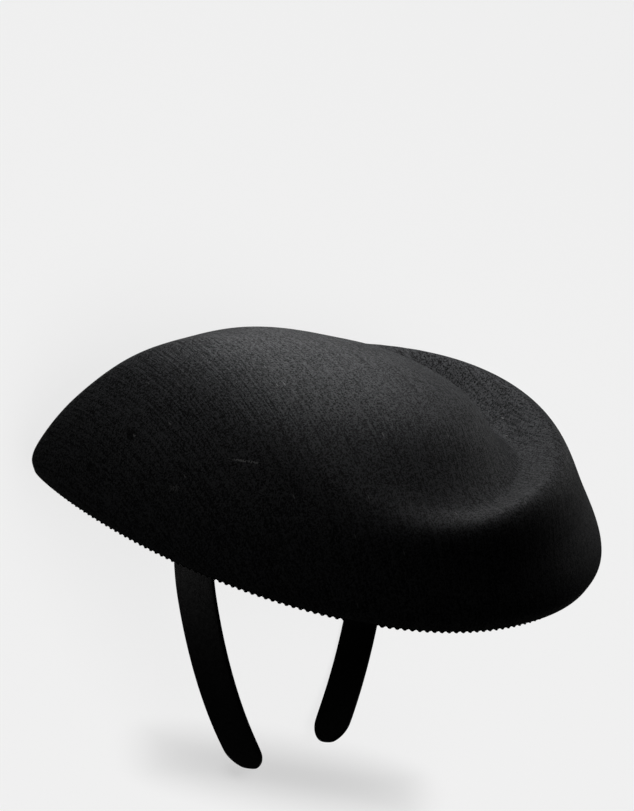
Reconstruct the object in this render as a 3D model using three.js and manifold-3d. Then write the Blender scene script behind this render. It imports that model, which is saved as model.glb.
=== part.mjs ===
// A black cloth-covered percher hat: a teardrop crown with a crescent lip, carried on a flat headband.
import * as THREE from "three";
import Module from "manifold-3d";

// Crown, in millimetres. In its own frame the point is at -Y, the round end at +Y and the open side below.
// The low side, which tilts down over the ear, is at +X.
const CROWN_LENGTH = 196;
const LOW_SIDE_WIDTH = 78.5; // from the long axis out to the low side
const HIGH_SIDE_WIDTH = 90; // from the long axis out to the high side
const CROWN_HEIGHT = 57.2;
const APEX_SIDE = -6;
const APEX_BACK = -18;
const CROWN_WALL = 2.4;
const EDGE_CURL = 1.5; // how far the turned edge runs back in under the wall
const EDGE_RISE = 5; // height of the widest line above the turned edge
const POINT_TAPER = 0.7; // 0 makes the plan an oval, 1 gives it a straight-sided point
const POINT_ROUNDING = 0.12; // share of a right angle over which the point is rounded off

// Ribbon sewn inside the edge, with its lower border showing.
const TRIM_THICKNESS = 0.9;
const TRIM_DROP = 2; // how far it shows below the crown's edge
const TRIM_DEPTH = 8; // how far it runs up inside

// Headband, upright with its tips down. Widths and heights are to the middle of its thickness.
const BAND_WIDTH = 14;
const BAND_THICKNESS = 2.2;
const BAND_SPAN = 148; // what the legs' arcs reach at their widest
const LEG_RADIUS = 146;
const LEG_ARC_HEIGHT = 106; // tips to the widest line of the legs' arcs
const LEG_HEIGHT = 66; // tips to where the legs turn into the top bow
const BAND_HEIGHT = 138;
const BOW_SIDE_REACH = 30; // how long the bow keeps the legs' direction
const BOW_TOP_REACH = 50; // how long the bow stays level beside its middle

// How the crown sits on the headband.
const CROWN_ROLL = 15; // degrees, down to the low side
const CROWN_PITCH = 16.5; // degrees, point up
const CROWN_TURN = 27; // degrees, point towards the low side
const ARM_ROOM = 17; // what the low side's widest line reaches past the headband's leg
const CROWN_BACK = 15.2; // how far behind the headband the middle of the crown is
const RIM_DROP = 52; // how far the middle of the open side is below the headband's top
const PAD_LENGTH = 44;
const PAD_WIDTH = 12;
const PAD_ROOM = 0.5; // between the pad and the curved inside of the crown

const SMALL_GAP = 0.3;

// The way down, seen on the upright headband, when the hat lies on the table by itself.
const LYING_DOWN = new THREE.Vector3(-0.43, -0.87, -0.25);

const SECTION_COUNT = 72;
const OUTER_STEPS = 5; // between two named points of a section
const INNER_STEPS = 4;
const BOW_STEPS = 21; // odd, so that one facet lies level across the headband's top

// One row for each section of the crown, by turn in degrees from the round end towards the low side.
// Each pair is a share of the way from the apex out to the rim and a share of the crown's height.
const CROWN_SECTIONS = [
  { turn: 0, wall: [0.93, 0.36], lip: [0.83, 0.63], valley: [0.71, 0.51], flank: [0.53, 0.83] },
  { turn: 30, wall: [0.93, 0.33], lip: [0.84, 0.59], valley: [0.73, 0.53], flank: [0.52, 0.84] },
  { turn: 60, wall: [0.94, 0.29], lip: [0.87, 0.49], valley: [0.76, 0.57], flank: [0.5, 0.86] },
  { turn: 90, wall: [0.95, 0.28], lip: [0.87, 0.46], valley: [0.71, 0.7], flank: [0.46, 0.89] },
  { turn: 120, wall: [0.95, 0.28], lip: [0.82, 0.54], valley: [0.6, 0.82], flank: [0.36, 0.96] },
  { turn: 150, wall: [0.95, 0.28], lip: [0.82, 0.54], valley: [0.6, 0.82], flank: [0.34, 0.965] },
  { turn: 180, wall: [0.95, 0.27], lip: [0.83, 0.52], valley: [0.61, 0.81], flank: [0.34, 0.965] },
  { turn: 210, wall: [0.95, 0.28], lip: [0.82, 0.54], valley: [0.6, 0.82], flank: [0.34, 0.96] },
  { turn: 240, wall: [0.95, 0.31], lip: [0.82, 0.58], valley: [0.62, 0.82], flank: [0.35, 0.955] },
  { turn: 270, wall: [0.95, 0.34], lip: [0.83, 0.64], valley: [0.66, 0.7], flank: [0.37, 0.91] },
  { turn: 300, wall: [0.95, 0.37], lip: [0.84, 0.67], valley: [0.7, 0.5], flank: [0.52, 0.79] },
  { turn: 330, wall: [0.93, 0.37], lip: [0.83, 0.67], valley: [0.7, 0.46], flank: [0.54, 0.78] },
];
const SECTION_PARTS = ["wall", "lip", "valley", "flank"];

const solids = await Module();
solids.setup();
const { Manifold, CrossSection, Mesh } = solids;

// One side of a pair in the section table at any turn, on a smooth closed curve through its rows.
function tableValue(part, side, turn) {
  const rows = CROWN_SECTIONS;
  const wrapped = THREE.MathUtils.euclideanModulo(turn, 360);
  const row = rows.findLastIndex((entry) => entry.turn <= wrapped);
  const at = (k) => {
    const entry = rows[THREE.MathUtils.euclideanModulo(k, rows.length)];
    return { turn: entry.turn + 360 * Math.floor(k / rows.length), value: entry[part][side] };
  };
  const [before, from, to, after] = [at(row - 1), at(row), at(row + 1), at(row + 2)];
  const span = to.turn - from.turn;
  const slopeFrom = ((to.value - before.value) / (to.turn - before.turn)) * span;
  const slopeTo = ((after.value - from.value) / (after.turn - from.turn)) * span;
  const t = (wrapped - from.turn) / span;
  const ease = t * t * (3 - 2 * t);
  return from.value * (1 - ease) + to.value * ease
    + slopeFrom * t * (1 - t) * (1 - t) - slopeTo * t * t * (1 - t);
}

// Half the plan's width at a turn, as a share of the widest.
function planWidth(turn) {
  const width = (angle) =>
    Math.sin(angle) * (Math.cos(angle / 2) ** 2 + POINT_ROUNDING ** 2) ** (POINT_TAPER / 2);
  let widest = 0;
  for (let degrees = 0; degrees < 180; degrees++)
    widest = Math.max(widest, width(THREE.MathUtils.degToRad(degrees)));
  return width(THREE.MathUtils.degToRad(turn)) / widest;
}

// The widest line of the crown, seen from above, at a turn.
function rimPoint(turn) {
  const inFull = THREE.MathUtils.euclideanModulo(turn, 360);
  const share = inFull <= 180 ? planWidth(inFull) : -planWidth(360 - inFull);
  const side = share > 0 ? LOW_SIDE_WIDTH : HIGH_SIDE_WIDTH;
  return new THREE.Vector2(side * share, (CROWN_LENGTH / 2) * Math.cos(THREE.MathUtils.degToRad(turn)));
}

// The outer face of one section, from the turned edge up over the lip and the valley to the apex.
function crownSection(turn, stepsPerPart) {
  const apex = new THREE.Vector2(APEX_SIDE, APEX_BACK);
  const rim = rimPoint(turn);
  const at = (share, height) => {
    const plan = apex.clone().lerp(rim, share);
    return new THREE.Vector3(plan.x, plan.y, height);
  };
  const named = [at(1 - EDGE_CURL / rim.distanceTo(apex), 0), at(1, EDGE_RISE)];
  for (const part of SECTION_PARTS)
    named.push(at(tableValue(part, 0, turn), tableValue(part, 1, turn) * CROWN_HEIGHT));
  const flank = named.at(-1);
  named.push(at(0, CROWN_HEIGHT));
  named.push(new THREE.Vector3(2 * apex.x - flank.x, 2 * apex.y - flank.y, flank.z));
  const curve = new THREE.CatmullRomCurve3(named, false, "centripetal");
  const steps = stepsPerPart * (named.length - 2);
  const reach = (named.length - 2) / (named.length - 1);
  return Array.from({ length: steps + 1 }, (_, k) => curve.getPoint((reach * k) / steps));
}

// Rings of points from the crown's edge to its apex, sunk below the outer face by a depth.
function crownRings(depth, stepsPerPart) {
  const lines = Array.from({ length: SECTION_COUNT }, (_, i) =>
    crownSection((360 * i) / SECTION_COUNT, stepsPerPart));
  const last = lines[0].length - 1;
  return lines[0].map((_, k) => lines.map((line, i) => {
    if (k === last) return line[k].clone().setZ(line[k].z - depth);
    const next = lines[(i + 1) % SECTION_COUNT][k];
    const previous = lines[(i + SECTION_COUNT - 1) % SECTION_COUNT][k];
    const up = line[k + 1].clone().sub(line[Math.max(k - 1, 0)]);
    const outward = up.cross(next.clone().sub(previous)).normalize();
    return line[k].clone().addScaledVector(outward, -depth);
  }));
}

// A closed surface through rings of points, from a start point to an end point.
function closedLoft(start, rings, end) {
  const count = rings[0].length;
  const points = [...rings.flat(), start, end];
  const [startIndex, endIndex] = [points.length - 2, points.length - 1];
  const index = [];
  for (let i = 0; i < count; i++) {
    const j = (i + 1) % count;
    const lastRing = (rings.length - 1) * count;
    index.push(startIndex, i, j);
    index.push(lastRing + i, endIndex, lastRing + j);
    for (let ring = 0; ring < lastRing; ring += count) {
      index.push(ring + i, ring + count + i, ring + count + j);
      index.push(ring + i, ring + count + j, ring + j);
    }
  }
  const geometry = new THREE.BufferGeometry().setFromPoints(points);
  geometry.setIndex(index);
  return geometry;
}

function middleOf(ring) {
  const sum = ring.reduce((total, point) => total.add(point), new THREE.Vector3());
  return sum.divideScalar(ring.length);
}

function solidFrom(geometry) {
  const vertProperties = new Float32Array(geometry.attributes.position.array);
  const triVerts = new Uint32Array(geometry.index.array);
  return Manifold.ofMesh(new Mesh({ numProp: 3, vertProperties, triVerts }));
}

function geometryFrom(solid) {
  const mesh = solid.getMesh();
  const geometry = new THREE.BufferGeometry();
  geometry.setAttribute("position", new THREE.BufferAttribute(mesh.vertProperties, 3));
  geometry.setIndex(new THREE.BufferAttribute(mesh.triVerts, 1));
  return geometry;
}

// The moulded shell, hollow and open below.
function crown() {
  const outer = crownRings(0, OUTER_STEPS);
  const inner = crownRings(CROWN_WALL, INNER_STEPS).reverse();
  const [innerApex] = inner.shift();
  const [outerApex] = outer.pop();
  return closedLoft(innerApex, [...inner, ...outer], outerApex);
}

// All that lies inside the shell, kept off its inner face.
function crownHollow() {
  const rings = crownRings(CROWN_WALL + PAD_ROOM, INNER_STEPS);
  const [apex] = rings.pop();
  return closedLoft(middleOf(rings[0]), rings, apex);
}

// The ribbon follows the edge just inside the shell.
function picotTrim() {
  const outline = Array.from({ length: SECTION_COUNT }, (_, i) => {
    const point = rimPoint((-360 * i) / SECTION_COUNT);
    return [point.x, point.y];
  });
  const plan = new CrossSection([outline]);
  const inset = EDGE_CURL + CROWN_WALL + SMALL_GAP;
  const inside = plan.offset(-inset - TRIM_THICKNESS, "Round");
  const ribbon = plan.offset(-inset, "Round").subtract(inside);
  return geometryFrom(ribbon.extrude(TRIM_DROP + TRIM_DEPTH).translate([0, 0, -TRIM_DROP]));
}

// Stations along the headband from the low side's tip over the top to the other, each with its half width.
function bandStations() {
  const rounding = BAND_WIDTH / 2;
  const legSide = (height) =>
    BAND_SPAN / 2 - LEG_RADIUS + Math.sqrt(LEG_RADIUS ** 2 - (LEG_ARC_HEIGHT - height) ** 2);
  const legPoint = (height) => new THREE.Vector2(legSide(height), height);
  const half = [];
  for (const degrees of [15, 35, 55, 75]) {
    const angle = THREE.MathUtils.degToRad(degrees);
    const height = rounding * (1 - Math.cos(angle));
    half.push({ at: legPoint(height), halfWidth: rounding * Math.sin(angle) });
  }
  const legSteps = 9;
  for (let k = 0; k < legSteps; k++)
    half.push({ at: legPoint(rounding + ((LEG_HEIGHT - rounding) * k) / legSteps), halfWidth: rounding });
  const legTop = legPoint(LEG_HEIGHT);
  const lean = Math.asin((LEG_ARC_HEIGHT - LEG_HEIGHT) / LEG_RADIUS);
  const legWay = new THREE.Vector2(Math.sin(lean), Math.cos(lean));
  const bow = new THREE.CubicBezierCurve(
    legTop,
    legTop.clone().addScaledVector(legWay, BOW_SIDE_REACH),
    new THREE.Vector2(BOW_TOP_REACH, BAND_HEIGHT),
    new THREE.Vector2(0, BAND_HEIGHT));
  for (let k = 0; k <= (BOW_STEPS - 1) / 2; k++)
    half.push({ at: bow.getPointAt((2 * k) / BOW_STEPS), halfWidth: rounding });
  const mirrored = half.toReversed().map(({ at, halfWidth }) =>
    ({ at: new THREE.Vector2(-at.x, at.y), halfWidth }));
  return [...half, ...mirrored];
}

// The headband as a flat strip, its outer face moved out and its inner face moved in by these amounts.
function bandStrip(outward, inward) {
  const stations = bandStations();
  const rings = stations.map(({ at, halfWidth }, k) => {
    const next = stations[Math.min(k + 1, stations.length - 1)].at;
    const previous = stations[Math.max(k - 1, 0)].at;
    const along = next.clone().sub(previous).normalize();
    const corner = (offset, width) =>
      new THREE.Vector3(at.x + along.y * offset, width, at.y - along.x * offset);
    const outer = BAND_THICKNESS / 2 + outward;
    const inner = -BAND_THICKNESS / 2 - inward;
    const edges = [[outer, 1], [outer, -1], [inner, -1], [inner, 1]];
    return edges.map(([offset, side]) => corner(offset, side * halfWidth));
  });
  return closedLoft(middleOf(rings[0]), rings, middleOf(rings.at(-1)));
}

// The pad between the headband's top and the inside of the crown, cut to both.
function bandPad(hollow) {
  const block = Manifold.cube([PAD_LENGTH, PAD_WIDTH, RIM_DROP + CROWN_HEIGHT], true)
    .translate([0, 0, BAND_HEIGHT + (RIM_DROP + CROWN_HEIGHT) / 2 - BAND_THICKNESS * 2]);
  return geometryFrom(block.intersect(hollow).subtract(solidFrom(bandStrip(SMALL_GAP, RIM_DROP / 2))));
}

// Where the crown's own frame lies on the upright headband.
function crownPlacement() {
  const turned = new THREE.Matrix4().makeRotationX(THREE.MathUtils.degToRad(-CROWN_PITCH))
    .multiply(new THREE.Matrix4().makeRotationY(THREE.MathUtils.degToRad(CROWN_ROLL)))
    .multiply(new THREE.Matrix4().makeRotationZ(THREE.MathUtils.degToRad(CROWN_TURN)));
  return turned.setPosition(BAND_SPAN / 2 + ARM_ROOM - LOW_SIDE_WIDTH, CROWN_BACK, BAND_HEIGHT - RIM_DROP);
}

// How the hat lies by itself, its legs pointing to +X: the middle of its mass is over a face of its hull,
// and of such faces this is the one nearest to the given way down.
function lyingPlacement(pieces) {
  const hull = Manifold.hull(pieces).getMesh();
  const centre = middleOfMass(pieces);
  const corner = (k) => new THREE.Vector3().fromArray(hull.vertProperties, hull.numProp * hull.triVerts[k]);
  let best = { match: -Infinity };
  for (let k = 0; k < hull.triVerts.length; k += 3) {
    const face = new THREE.Triangle(corner(k), corner(k + 1), corner(k + 2));
    const down = face.getNormal(new THREE.Vector3());
    const under = face.getPlane(new THREE.Plane()).projectPoint(centre, new THREE.Vector3());
    const match = down.dot(LYING_DOWN);
    if (face.containsPoint(under) && match > best.match) best = { match, down };
  }
  const laid = new THREE.Quaternion().setFromUnitVectors(best.down, new THREE.Vector3(0, 0, -1));
  const legWay = new THREE.Vector3(0, 0, -1).applyQuaternion(laid);
  return new THREE.Matrix4().makeRotationZ(-Math.atan2(legWay.y, legWay.x))
    .multiply(new THREE.Matrix4().makeRotationFromQuaternion(laid));
}

function middleOfMass(pieces) {
  const sum = new THREE.Vector3();
  let volume = 0;
  for (const piece of pieces) {
    const { vertProperties, triVerts, numProp } = piece.getMesh();
    for (let k = 0; k < triVerts.length; k += 3) {
      const [a, b, c] = [0, 1, 2].map((i) =>
        new THREE.Vector3().fromArray(vertProperties, numProp * triVerts[k + i]));
      const part = a.dot(b.clone().cross(c)) / 6;
      volume += part;
      sum.addScaledVector(a.add(b).add(c), part / 4);
    }
  }
  return sum.divideScalar(volume);
}

function cloth(name, geometry, color, roughness) {
  const faceted = geometry.toNonIndexed();
  faceted.computeVertexNormals();
  const mesh = new THREE.Mesh(faceted, new THREE.MeshStandardMaterial({ color, roughness }));
  mesh.name = name;
  return mesh;
}

const onBand = crownPlacement();
const shell = crown().applyMatrix4(onBand);
const trim = picotTrim().applyMatrix4(onBand);
const band = bandStrip(0, 0);
const pad = bandPad(solidFrom(crownHollow().applyMatrix4(onBand)));
const lying = lyingPlacement([shell, trim, band, pad].map(solidFrom));

const percher = new THREE.Group();
percher.name = "percher";
percher.add(
  cloth("crown", shell.applyMatrix4(lying), "#18181a", 0.8),
  cloth("picot_trim", trim.applyMatrix4(lying), "#101011", 0.9),
  cloth("headband", band.applyMatrix4(lying), "#121213", 0.7),
  cloth("band_pad", pad.applyMatrix4(lying), "#141415", 0.9));

// The origin is the middle of the ground it covers.
const extent = new THREE.Box3().setFromObject(percher);
const middle = extent.getCenter(new THREE.Vector3());
for (const piece of percher.children)
  piece.geometry.translate(-middle.x, -middle.y, -extent.min.z);

export default percher;
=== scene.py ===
import math

import bpy
from mathutils import Euler, Matrix, Vector


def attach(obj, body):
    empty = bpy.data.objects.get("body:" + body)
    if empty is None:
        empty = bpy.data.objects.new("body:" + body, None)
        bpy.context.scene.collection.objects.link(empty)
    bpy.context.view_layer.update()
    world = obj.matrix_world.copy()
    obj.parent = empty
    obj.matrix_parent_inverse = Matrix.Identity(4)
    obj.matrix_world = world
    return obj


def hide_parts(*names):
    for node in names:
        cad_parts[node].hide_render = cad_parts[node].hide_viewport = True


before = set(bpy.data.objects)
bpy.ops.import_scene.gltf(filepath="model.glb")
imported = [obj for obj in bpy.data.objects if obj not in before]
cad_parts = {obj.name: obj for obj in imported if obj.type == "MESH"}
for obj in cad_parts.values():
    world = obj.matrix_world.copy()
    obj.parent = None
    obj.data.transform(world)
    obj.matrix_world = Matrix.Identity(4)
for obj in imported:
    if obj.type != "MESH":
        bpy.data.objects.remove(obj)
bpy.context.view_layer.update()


# Camera. It looks at the hat from where the photograph was taken: level with the hat as it is worn.
# The hat lies on its side here, so the same place is above the floor, with the camera turned on its side.
CAMERA_PLACE = (0.0789, -0.4132, 0.6110)
CAMERA_TURN = (15.42, -35.18, 81.21)
FOCAL_LENGTH_PIXELS = 2010
IMAGE_LONG_SIDE_PIXELS = 811
FARTHEST_SEEN = 20

bpy.ops.object.camera_add(location=CAMERA_PLACE, rotation=[math.radians(angle) for angle in CAMERA_TURN])
camera = bpy.context.object
camera.name = "camera"
camera.data.lens = camera.data.sensor_width * FOCAL_LENGTH_PIXELS / IMAGE_LONG_SIDE_PIXELS
camera.data.clip_end = FARTHEST_SEEN
bpy.context.scene.camera = camera
bpy.context.scene.view_settings.view_transform = "Standard"


# Floor. A seamless sheet of studio paper. The camera sees it pale and a little aglow, so that it is nearly
# white beside the black cloth, and it throws back less light on the hat than that.
FLOOR_SIZE = 12
FLOOR_COLOR = (0.5, 0.5, 0.5, 1)
FLOOR_COLOR_FOR_HAT = (0.15, 0.15, 0.15, 1)
FLOOR_GLOW = 0.50
FLOOR_ROUGHNESS = 0.9
FLOOR_SPECULAR = 0.1
WHITE = (1, 1, 1, 1)


def add_node(tree, kind, settings=None, **inputs):
    """A node with its settings and its inputs, by label or as _number, each a value or another's output."""
    node = tree.nodes.new(kind)
    for setting, value in (settings or {}).items():
        setattr(node, setting, value)
    for label, value in inputs.items():
        socket = node.inputs[int(label[1:])] if label[0] == "_" else node.inputs[label.replace("_", " ")]
        if isinstance(value, bpy.types.NodeSocket):
            tree.links.new(value, socket)
        else:
            socket.default_value = value
    return node


def math_node(tree, operation, *values):
    return add_node(tree, "ShaderNodeMath", {"operation": operation},
                    **{f"_{i}": value for i, value in enumerate(values)}).outputs[0]


def mix_colors(tree, share, first, second):
    """The first colour, with more of the second as the share rises. The sockets' labels repeat, so it
    finds them by number."""
    return add_node(tree, "ShaderNodeMix", {"data_type": "RGBA"}, _0=share, _6=first, _7=second).outputs[2]


bpy.ops.mesh.primitive_plane_add(size=FLOOR_SIZE, location=(0, 0, 0))
floor = bpy.context.object
floor.name = "studio_floor"
paper = bpy.data.materials.new("floor_paper")
paper.use_nodes = True
paper_tree = paper.node_tree
paper_shader = paper_tree.nodes["Principled BSDF"]
paper_shader.inputs["Roughness"].default_value = FLOOR_ROUGHNESS
paper_shader.inputs["Specular IOR Level"].default_value = FLOOR_SPECULAR
paper_shader.inputs["Emission Color"].default_value = WHITE
paper_seen = add_node(paper_tree, "ShaderNodeLightPath").outputs["Is Camera Ray"]
paper_color = mix_colors(paper_tree, paper_seen, FLOOR_COLOR_FOR_HAT, FLOOR_COLOR)
paper_tree.links.new(paper_color, paper_shader.inputs["Base Color"])
paper_glow = math_node(paper_tree, "MULTIPLY", paper_seen, FLOOR_GLOW)
paper_tree.links.new(paper_glow, paper_shader.inputs["Emission Strength"])
floor.data.materials.append(paper)


# Light. A small soft box hangs close beside the crown, on the side that the photograph has above it, with
# weaker ones beyond the round end and beyond the point, and a narrow one for the near leg. The floor has two
# lights of its own. Unseen flags under one of them give the shadow that the photograph has at the tips.
AIM = (-0.03, 0, 0.07)
FULL_SPREAD = 180
LIGHTS = [
    {"name": "key_light", "place": (-0.178, 0.012, 0.088), "size": 0.17, "power": 0.655,
     "lights": "hat", "shadow_of": "all"},
    {"name": "round_end_light", "place": (-0.169, 0.361, 0.110), "size": 0.20, "power": 0.365,
     "lights": "hat", "shadow_of": "all"},
    {"name": "fill_light", "place": (-0.339, -0.320, 0.130), "size": 0.20, "power": 0.22,
     "lights": "hat", "shadow_of": "all"},
    {"name": "leg_light", "place": (-0.019, -0.110, 0.072), "size": 0.03, "power": 0.0065,
     "aim": (0.0204, -0.0654, 0.0683), "spread": 50, "lights": "band", "shadow_of": "flags"},
    {"name": "floor_light", "place": (1.20, -0.20, 3.60), "size": 3.20, "power": 24,
     "lights": "floor", "shadow_of": "all"},
    {"name": "tip_shadow_light", "place": (0.08, 0.01, 3.20), "size": 1.30, "power": 60,
     "lights": "floor", "shadow_of": "flags"},
]
FLAGS = [
    {"name": "long_flag", "middle": (0.0787, 0.0097, 0.050), "half_size": (0.0072, 0.064, 1), "turn": -13.5},
    {"name": "near_tip_flag", "middle": (0.0762, -0.0118, 0.022), "half_size": (0.0036, 0.006, 1), "turn": 0},
]

# What each light reaches, and what stops it where that isn't everything.
lit = {name: bpy.data.collections.new("lit_" + name) for name in ("hat", "band", "floor")}
lit["floor"].objects.link(floor)
shading = {"flags": bpy.data.collections.new("shading_flags")}

for oval in FLAGS:
    bpy.ops.mesh.primitive_circle_add(radius=1, fill_type="NGON")
    flag = bpy.context.object
    flag.name = oval["name"]
    flag_turn = Euler((0, 0, math.radians(oval["turn"])))
    flag.data.transform(Matrix.LocRotScale(Vector(oval["middle"]), flag_turn, Vector(oval["half_size"])))
    flag.visible_camera = False
    flag.visible_diffuse = False
    flag.visible_glossy = False
    shading["flags"].objects.link(flag)

for light in LIGHTS:
    place = Vector(light["place"])
    turn = (Vector(light.get("aim", AIM)) - place).to_track_quat("-Z", "Y").to_euler()
    bpy.ops.object.light_add(type="AREA", location=place, rotation=turn)
    lamp = bpy.context.object
    lamp.name = light["name"]
    lamp.data.shape = "DISK"
    lamp.data.size = light["size"]
    lamp.data.energy = light["power"]
    lamp.data.spread = math.radians(light.get("spread", FULL_SPREAD))
    lamp.visible_camera = False
    lamp.light_linking.receiver_collection = lit[light["lights"]]
    if light["shadow_of"] in shading:
        lamp.light_linking.blocker_collection = shading[light["shadow_of"]]

# The room beyond the floor: nearly white where the camera sees it, and dim where it lights the hat.
ROOM_LIGHT = 0.04
ROOM_SEEN = 0.87

room = bpy.data.worlds.new("studio_room")
room.use_nodes = True
bpy.context.scene.world = room
room_tree = room.node_tree
room_light = room_tree.nodes["Background"]
room_light.inputs["Color"].default_value = WHITE
room_light.inputs["Strength"].default_value = ROOM_LIGHT
room_seen = add_node(room_tree, "ShaderNodeBackground", Color=WHITE, Strength=ROOM_SEEN)
room_path = add_node(room_tree, "ShaderNodeLightPath")
room_mix = add_node(room_tree, "ShaderNodeMixShader", _0=room_path.outputs["Is Camera Ray"],
                    _1=room_light.outputs[0], _2=room_seen.outputs[0])
room_tree.links.new(room_mix.outputs[0], room_tree.nodes["World Output"].inputs["Surface"])


# Crown. Slubbed silk blocked over a stiff foundation and turned in round the edge, in one piece with it.
# The CAD solid gives its form. The cloth is finer than its facets, and its threads follow the surface.
CROWN_PLACE = Matrix.LocRotScale(
    Vector((-0.00761, -0.00941, 0.06225)),
    Euler([math.radians(angle) for angle in (43.469, -39.197, -49.329)]),
    None)
CROWN_APEX = (-0.006, -0.018)
EDGE_HEIGHT = 0.0001
WELD_DISTANCE = 0.00001
QUAD_ANGLE = math.radians(60)
SMOOTH_LEVELS = 2


def only(piece):
    """Makes one piece the only one selected, and the active one."""
    bpy.ops.object.select_all(action="DESELECT")
    piece.select_set(True)
    bpy.context.view_layer.objects.active = piece


def copy_of_node(node, name):
    """A new object in a CAD node's own form, its loose triangles joined and paired up into quads."""
    piece = bpy.data.objects.new(name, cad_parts[node].data.copy())
    bpy.context.collection.objects.link(piece)
    piece.data.materials.clear()
    only(piece)
    bpy.ops.object.mode_set(mode="EDIT")
    bpy.ops.mesh.select_all(action="SELECT")
    bpy.ops.mesh.remove_doubles(threshold=WELD_DISTANCE)
    bpy.ops.mesh.tris_convert_to_quads(face_threshold=QUAD_ANGLE, shape_threshold=QUAD_ANGLE)
    bpy.ops.object.mode_set(mode="OBJECT")
    return piece


def apply_modifier(piece, kind, **settings):
    only(piece)
    modifier = piece.modifiers.new(kind.lower(), kind)
    for setting, value in settings.items():
        setattr(modifier, setting, value)
    bpy.ops.object.modifier_apply(modifier=modifier.name)


def finish_piece(piece, node):
    """Shades a piece smooth, puts it in the hat's light and lets it stand for its CAD node."""
    for face in piece.data.polygons:
        face.use_smooth = True
    lit["hat"].objects.link(piece)
    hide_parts(node)
    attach(piece, "root")


crown = copy_of_node("crown", "crown_cloth")
to_crown = CROWN_PLACE.inverted()
in_crown = [to_crown @ vertex.co for vertex in crown.data.vertices]

# The cloth's own flat map, in metres: opened along the edge, laid flat with as little stretch as it takes,
# then turned so that its weft runs across the crown, a little towards the round end.
WEFT_TURN = 32
BESIDE_APEX = 0.03
SPOT_RADIUS = BESIDE_APEX / 3
FLAT_MARGIN = 0.001

only(crown)
for edge in crown.data.edges:
    edge.use_seam = all(abs(in_crown[end].z) < EDGE_HEIGHT for end in edge.vertices)
bpy.ops.object.mode_set(mode="EDIT")
bpy.ops.mesh.select_all(action="SELECT")
bpy.ops.uv.unwrap(method="MINIMUM_STRETCH", margin=FLAT_MARGIN)
bpy.ops.object.mode_set(mode="OBJECT")


def flat_place(piece, spot):
    """The outermost vertex over a spot of the plan, and where it lies on the flat map."""
    near = [vertex for vertex in piece.data.vertices
            if (in_crown[vertex.index].xy - spot).length < SPOT_RADIUS]
    top = max(near, key=lambda vertex: in_crown[vertex.index].z - (in_crown[vertex.index].xy - spot).length)
    corner = next(loop.index for loop in piece.data.loops if loop.vertex_index == top.index)
    return top.co, piece.data.uv_layers.active.data[corner].uv.copy()


apex = Vector(CROWN_APEX)
high_place, high_flat = flat_place(crown, apex - Vector((BESIDE_APEX, 0)))
low_place, low_flat = flat_place(crown, apex + Vector((BESIDE_APEX, 0)))
across = low_flat - high_flat
flat_scale = (low_place - high_place).length / across.length
flat_turn = Matrix.Rotation(-math.atan2(across.y, across.x) - math.radians(WEFT_TURN), 2)
for corner in crown.data.uv_layers.active.data:
    corner.uv = flat_turn @ (corner.uv - high_flat) * flat_scale

apply_modifier(crown, "SUBSURF", levels=SMOOTH_LEVELS, render_levels=SMOOTH_LEVELS)
finish_piece(crown, "crown")

# Slubbed plain weave: uneven weft threads with thick places, a lighter or darker dot where each is crossed,
# and stray pale fibres. Each pattern's size is in thread widths across and thread lengths along.
WEFT_PATTERN = (2.0, 1.4)
WEFT_DETAIL = 2.0
SLUB_PATTERN = (4.0, 2.6)
SLUB_DETAIL = 1.0
CROSSING_PATTERN = (1.0, 0.033)
FLECK_PATTERN = (5.0, 0.85)
NOISE_ROUGHNESS = 0.55
CROSSING_HEIGHT = 0.3
WEFT_TONE = 0.6
SLUB_TONE = 0.2
CROSSING_TONE = 0.6
TONE_SHIFT = -0.2
FLECK_RIM = 0.11
FLECK_CORE = 0.04


def new_group(name, inputs, outputs):
    """A shader node group with named inputs, each with its usual value, and named outputs."""
    group = bpy.data.node_groups.new(name, "ShaderNodeTree")
    for label, (kind, value) in inputs.items():
        socket = group.interface.new_socket(label, in_out="INPUT", socket_type=kind)
        if value is not None:
            socket.default_value = value
    for label, kind in outputs.items():
        group.interface.new_socket(label, in_out="OUTPUT", socket_type=kind)
    return group


slub_weave = new_group(
    "slub_weave",
    {"Place": ("NodeSocketVector", None), "Thread Width": ("NodeSocketFloat", 0.0005),
     "Thread Length": ("NodeSocketFloat", 0.012), "Slub Share": ("NodeSocketFloat", 0.5),
     "Fleck Share": ("NodeSocketFloat", 0.02)},
    {"Height": "NodeSocketFloat", "Tone": "NodeSocketFloat", "Flecks": "NodeSocketFloat"})
weave_in = slub_weave.nodes.new("NodeGroupInput").outputs
weave_out = slub_weave.nodes.new("NodeGroupOutput").inputs


def weave_scale(width_times, length_times):
    """The place on the cloth, measured in so many thread widths and thread lengths."""
    length = math_node(slub_weave, "MULTIPLY", weave_in["Thread Length"], length_times)
    width = math_node(slub_weave, "MULTIPLY", weave_in["Thread Width"], width_times)
    size = add_node(slub_weave, "ShaderNodeCombineXYZ", X=length, Y=width, Z=width).outputs[0]
    return add_node(slub_weave, "ShaderNodeVectorMath", {"operation": "DIVIDE"},
                    _0=weave_in["Place"], _1=size).outputs[0]


def weave_noise(pattern, detail):
    return add_node(slub_weave, "ShaderNodeTexNoise", {"noise_dimensions": "3D"},
                    Vector=weave_scale(*pattern), Scale=1.0, Detail=detail,
                    Roughness=NOISE_ROUGHNESS).outputs["Fac"]


def cell_draw(cells):
    """The number that each cell of a pattern has drawn for itself."""
    return add_node(slub_weave, "ShaderNodeSeparateColor", Color=cells.outputs["Color"]).outputs[0]


weft = weave_noise(WEFT_PATTERN, WEFT_DETAIL)
slubs = weave_noise(SLUB_PATTERN, SLUB_DETAIL)
crossings = add_node(slub_weave, "ShaderNodeTexVoronoi", Vector=weave_scale(*CROSSING_PATTERN), Scale=1.0)
crossing = cell_draw(crossings)

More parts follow.
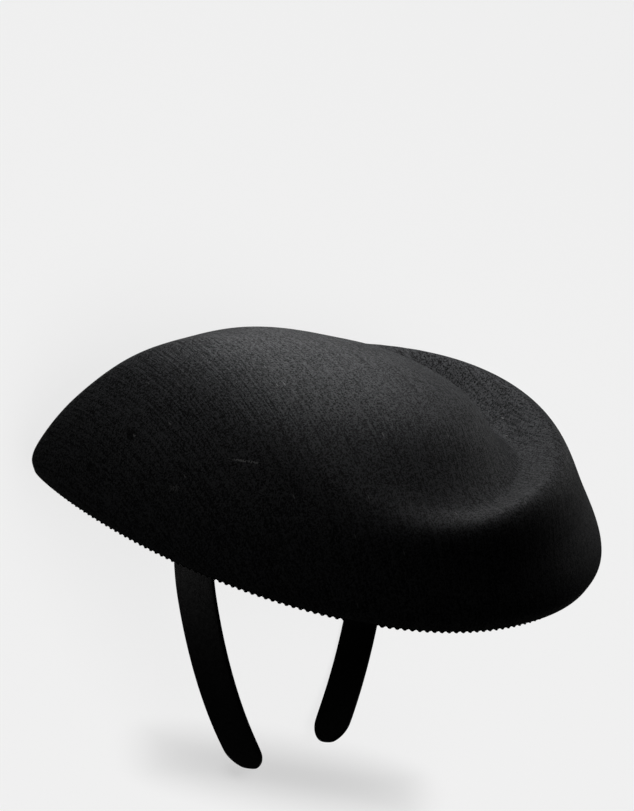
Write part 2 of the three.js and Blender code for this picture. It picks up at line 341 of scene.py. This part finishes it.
slub_height = math_node(slub_weave, "MULTIPLY", slubs, weave_in["Slub Share"])
thread_height = math_node(slub_weave, "ADD", weft, slub_height)
crossing_height = math_node(slub_weave, "MULTIPLY", crossing, CROSSING_HEIGHT)
slub_weave.links.new(math_node(slub_weave, "ADD", thread_height, crossing_height), weave_out["Height"])

weft_tone = math_node(slub_weave, "MULTIPLY_ADD", weft, WEFT_TONE, TONE_SHIFT)
slub_tone = math_node(slub_weave, "MULTIPLY_ADD", slubs, SLUB_TONE, weft_tone)
tone = math_node(slub_weave, "MULTIPLY_ADD", crossing, CROSSING_TONE, slub_tone)
slub_weave.links.new(tone, weave_out["Tone"])

fleck_cells = add_node(slub_weave, "ShaderNodeTexVoronoi", {"voronoi_dimensions": "2D"},
                       Vector=weave_scale(*FLECK_PATTERN), Scale=1.0)
fleck_here = add_node(slub_weave, "ShaderNodeMapRange", Value=fleck_cells.outputs["Distance"],
                      From_Min=FLECK_RIM, From_Max=FLECK_CORE).outputs[0]
fleck_drawn = math_node(slub_weave, "LESS_THAN", cell_draw(fleck_cells), weave_in["Fleck Share"])
flecks = math_node(slub_weave, "MULTIPLY", fleck_here, fleck_drawn)
slub_weave.links.new(flecks, weave_out["Flecks"])

# How far the tone of the threads goes down and up, and what that does to the cloth's colour and roughness.
DARK_THREADS = {"tone": 0.30, "times_color": 0.22}
PALE_THREADS = {"tone": 0.70, "times_color": 1.9}
ROUGHNESS_SPREAD = 0.08
MARKED_FROM_TONE = 0.42
MARKED_ALL_AT_TONE = 0.52
MARK_CORE = 0.5
CLOTH_SPECULAR = 0.03
SHEEN_ROUGHNESS = 0.45
SHEEN_TINT = (0.88, 0.95, 1, 1)


def cloth_material(name, color, pale, roughness, sheen, relief, place, marks=(), **weave):
    """A woven black cloth: its colour and roughness vary with the threads, which stand up as relief.
    A mark is an oval spot that takes hold on the paler threads only."""
    cloth = bpy.data.materials.new(name)
    cloth.use_nodes = True
    tree = cloth.node_tree
    shader = tree.nodes["Principled BSDF"]
    shader.inputs["Sheen Weight"].default_value = sheen
    shader.inputs["Sheen Roughness"].default_value = SHEEN_ROUGHNESS
    shader.inputs["Sheen Tint"].default_value = SHEEN_TINT
    shader.inputs["Specular IOR Level"].default_value = CLOTH_SPECULAR

    threads = tree.nodes.new("ShaderNodeGroup")
    threads.node_tree = slub_weave
    tree.links.new(add_node(tree, "ShaderNodeTexCoord").outputs[place], threads.inputs["Place"])
    for label, value in weave.items():
        threads.inputs[label.replace("_", " ")].default_value = value
    tone = threads.outputs["Tone"]

    shade = add_node(tree, "ShaderNodeValToRGB", Fac=tone)
    for end, some_threads in zip(shade.color_ramp.elements, (DARK_THREADS, PALE_THREADS)):
        end.position = some_threads["tone"]
        end.color = (*[some_threads["times_color"] * part for part in color], 1)
    seen_color = mix_colors(tree, threads.outputs["Flecks"], shade.outputs[0], (*pale, 1))

    solid_place = add_node(tree, "ShaderNodeTexCoord").outputs["Object"]
    on_threads = add_node(tree, "ShaderNodeMapRange", Value=tone,
                          From_Min=MARKED_FROM_TONE, From_Max=MARKED_ALL_AT_TONE).outputs[0]
    for mark in marks:
        turn = [math.radians(angle) for angle in mark["turn"]]
        spot = add_node(tree, "ShaderNodeMapping", {"vector_type": "TEXTURE", "label": mark["name"]},
                        Vector=solid_place, Location=mark["place"], Rotation=turn, Scale=mark["half_size"])
        fade = add_node(tree, "ShaderNodeTexGradient", {"gradient_type": "SPHERICAL"},
                        Vector=spot.outputs[0]).outputs["Fac"]
        core = add_node(tree, "ShaderNodeMapRange", Value=fade, From_Max=MARK_CORE).outputs[0]
        share = math_node(tree, "MULTIPLY", core, on_threads)
        seen_color = mix_colors(tree, share, seen_color, (*[mark["tone"]] * 3, 1))
    tree.links.new(seen_color, shader.inputs["Base Color"])

    dull = add_node(tree, "ShaderNodeMapRange", Value=tone,
                    From_Min=DARK_THREADS["tone"], From_Max=PALE_THREADS["tone"],
                    To_Min=roughness + ROUGHNESS_SPREAD, To_Max=roughness - ROUGHNESS_SPREAD)
    tree.links.new(dull.outputs[0], shader.inputs["Roughness"])
    bump = add_node(tree, "ShaderNodeBump", Height=threads.outputs["Height"], Distance=relief, Strength=1.0)
    tree.links.new(bump.outputs[0], shader.inputs["Normal"])
    return cloth


# Thick places and a nick in the cloth that the photograph shows near the point, each with how light it is.
MARKS = [
    {"name": "pale slub", "place": (-0.01865, -0.06126, 0.09971), "turn": (0, -52.9, 59.4),
     "half_size": (0.0068, 0.0005, 0.0005), "tone": 0.09},
    {"name": "pale smudge", "place": (-0.01411, -0.07539, 0.07980), "turn": (0, -52.9, 59.4),
     "half_size": (0.0026, 0.0014, 0.0014), "tone": 0.05},
    {"name": "dark nick", "place": (-0.03480, -0.07840, 0.06220), "turn": (0, 0, 0),
     "half_size": (0.0026, 0.0022, 0.0022), "tone": 0.0},
    {"name": "pale end of the nick", "place": (-0.03460, -0.07790, 0.06340), "turn": (0, 0, 0),
     "half_size": (0.0008, 0.0008, 0.0008), "tone": 0.09},
]

crown.data.materials.append(cloth_material(
    "slubbed_silk", color=(0.0138, 0.0141, 0.0148), pale=(0.07, 0.07, 0.07), roughness=0.65, sheen=0.004,
    relief=0.00014, place="UV", marks=MARKS, Thread_Width=0.0004, Thread_Length=0.012, Slub_Share=0.5))


# Ribbon. A ribbed hat ribbon with a scalloped edge on both sides, sewn round inside the crown's edge
# so that one row of scallops shows below it. One scallop's length is made once and repeated round the edge.
RIBBON_WIDTH = 0.0100
RIBBON_THICKNESS = 0.0009
RIBBON_LOW = -0.0020
RIBBON_INSET = 0.00315
RIBBON_WELD = 0.00003
SCALLOP_PITCH = 0.00235
SCALLOP_DEPTH = 0.0007
SCALLOP_FULLNESS = 0.8
RIBS_PER_SCALLOP = 2
COLUMNS_PER_RIB = 5
ROWS = 3
RIB_RELIEF = 0.00018

# The path along the middle of the ribbon's thickness, set in from the crown's edge.
ring = sorted((place.xy for place in in_crown if abs(place.z) < EDGE_HEIGHT),
              key=lambda spot: math.atan2(spot.y, spot.x))
path_data = bpy.data.curves.new("ribbon_path", "CURVE")
path_data.dimensions = "2D"
spline = path_data.splines.new("BEZIER")
spline.bezier_points.add(len(ring) - 1)
for k, point in enumerate(spline.bezier_points):
    along = (ring[(k + 1) % len(ring)] - ring[k - 1]).normalized()
    middle = ring[k] + Vector((-along.y, along.x)) * RIBBON_INSET
    point.co = (middle.x, middle.y, 0)
    point.handle_left_type = "AUTO"
    point.handle_right_type = "AUTO"
spline.use_cyclic_u = True
path = bpy.data.objects.new("ribbon_path", path_data)
bpy.context.collection.objects.link(path)
bpy.context.view_layer.update()
path_length = spline.calc_length()
scallops = round(path_length / SCALLOP_PITCH)
pitch = path_length / scallops

bpy.ops.object.select_all(action="DESELECT")
bpy.ops.mesh.primitive_grid_add(x_subdivisions=RIBS_PER_SCALLOP * COLUMNS_PER_RIB, y_subdivisions=ROWS,
                                size=1)
ribbon = bpy.context.object
ribbon.name = "picot_ribbon"
for vertex in ribbon.data.vertices:
    along = vertex.co.x + 0.5
    up = vertex.co.y + 0.5
    arc = SCALLOP_DEPTH * (1 - abs(math.sin(math.pi * along)) ** SCALLOP_FULLNESS)
    ribs = math.cos(2 * math.pi * RIBS_PER_SCALLOP * along) * RIB_RELIEF
    height = RIBBON_LOW + arc + up * (RIBBON_WIDTH - 2 * arc)
    vertex.co = (along * pitch, ribs, height)
apply_modifier(ribbon, "ARRAY", count=scallops, use_relative_offset=False, use_constant_offset=True,
               constant_offset_displace=(pitch, 0, 0), use_merge_vertices=True,
               merge_threshold=WELD_DISTANCE)
apply_modifier(ribbon, "CURVE", object=path, deform_axis="POS_X")
only(ribbon)
bpy.ops.object.mode_set(mode="EDIT")
bpy.ops.mesh.select_all(action="SELECT")
bpy.ops.mesh.remove_doubles(threshold=RIBBON_WELD)
bpy.ops.mesh.normals_make_consistent(inside=False)
bpy.ops.object.mode_set(mode="OBJECT")
apply_modifier(ribbon, "SOLIDIFY", thickness=RIBBON_THICKNESS - 2 * RIB_RELIEF, offset=0)
ribbon.data.transform(CROWN_PLACE)
bpy.data.objects.remove(path)
finish_piece(ribbon, "picot_trim")
ribbon.data.materials.append(cloth_material(
    "ribbon_cloth", color=(0.003, 0.003, 0.003), pale=(0.05, 0.05, 0.05), roughness=0.6, sheen=0.01,
    relief=0.00005, place="Object", Thread_Width=0.0004, Thread_Length=0.004, Fleck_Share=0.0))


# Headband. A flat springy strip, covered all round with a plain satin-like cloth, its tips rounded.
# The cover is drawn tight over the strip, so its edges are only a little soft.
BAND_EDGE = 0.0008
BAND_EDGE_STEPS = 2
BAND_EDGE_ANGLE = math.radians(50)

band = copy_of_node("headband", "headband_cover")
apply_modifier(band, "BEVEL", width=BAND_EDGE, segments=BAND_EDGE_STEPS, limit_method="ANGLE",
               angle_limit=BAND_EDGE_ANGLE)
apply_modifier(band, "SUBSURF", levels=SMOOTH_LEVELS, render_levels=SMOOTH_LEVELS)
finish_piece(band, "headband")
lit["band"].objects.link(band)
band.data.materials.append(cloth_material(
    "band_satin", color=(0.004, 0.004, 0.004), pale=(0.05, 0.05, 0.05), roughness=0.6, sheen=0.0,
    relief=0.00004, place="Object", Thread_Width=0.0003, Thread_Length=0.002, Fleck_Share=0.0))


# Pad. A small block of black felt sewn between the top of the headband and the inside of the crown,
# shaped to both, which carries the crown.
PAD_GRAIN = 0.0010
PAD_SOFTENING = 0.5
PAD_SOFTENING_ROUNDS = 4

pad = copy_of_node("band_pad", "felt_pad")
apply_modifier(pad, "REMESH", mode="VOXEL", voxel_size=PAD_GRAIN)
apply_modifier(pad, "SMOOTH", factor=PAD_SOFTENING, iterations=PAD_SOFTENING_ROUNDS)
finish_piece(pad, "band_pad")
pad.data.materials.append(cloth_material(
    "felt", color=(0.008, 0.008, 0.008), pale=(0.05, 0.05, 0.05), roughness=0.85, sheen=0.03,
    relief=0.00015, place="Object", Thread_Width=0.0009, Thread_Length=0.0012, Fleck_Share=0.0))
